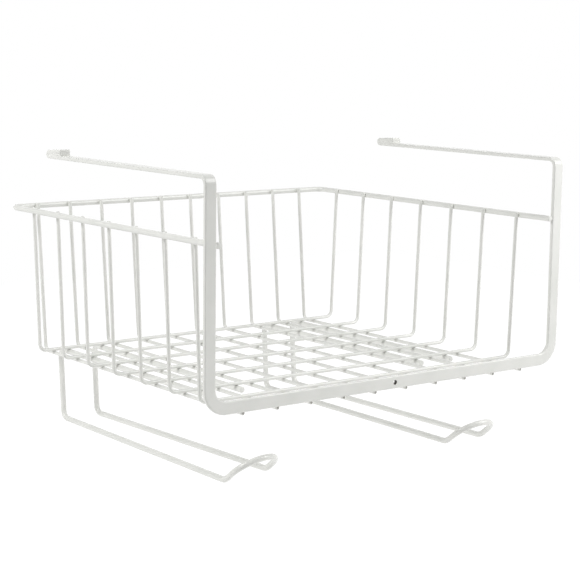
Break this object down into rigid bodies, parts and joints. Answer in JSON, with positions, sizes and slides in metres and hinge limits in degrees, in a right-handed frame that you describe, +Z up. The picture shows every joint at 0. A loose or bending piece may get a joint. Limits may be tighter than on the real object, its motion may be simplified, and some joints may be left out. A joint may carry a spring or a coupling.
{
  "type": "under shelf basket",
  "caption": "Open-front wire basket that hangs from a shelf board on two flat arms, with two wire rails below its floor that hold a flat board.",
  "frame": {"origin": "middle of the footprint, on the plane that the under rails stand on", "axes": "+X across the basket to the right as seen from its open front, +Y from the front to the rear wall, +Z up"},
  "size_m": [0.42, 0.3628, 0.2835],
  "materials": {
    "white_powder_coat": "glossy white powder coat with slight orange peel"
  },
  "bodies": {
    "root": {"front_hanger_frame": "white_powder_coat", "rim_wire": "white_powder_coat", "cross_wire_1": "white_powder_coat", "cross_wire_2": "white_powder_coat", "cross_wire_3": "white_powder_coat", "cross_wire_4": "white_powder_coat", "cross_wire_5": "white_powder_coat", "cross_wire_6": "white_powder_coat", "cross_wire_7": "white_powder_coat", "lengthwise_wire_1": "white_powder_coat", "lengthwise_wire_2": "white_powder_coat", "lengthwise_wire_3": "white_powder_coat", "lengthwise_wire_4": "white_powder_coat", "lengthwise_wire_5": "white_powder_coat", "lengthwise_wire_6": "white_powder_coat", "lengthwise_wire_7": "white_powder_coat", "lengthwise_wire_8": "white_powder_coat", "lengthwise_wire_9": "white_powder_coat", "lengthwise_wire_10": "white_powder_coat", "left_under_rail": "white_powder_coat", "right_under_rail": "white_powder_coat"}
  },
  "joints": []
}
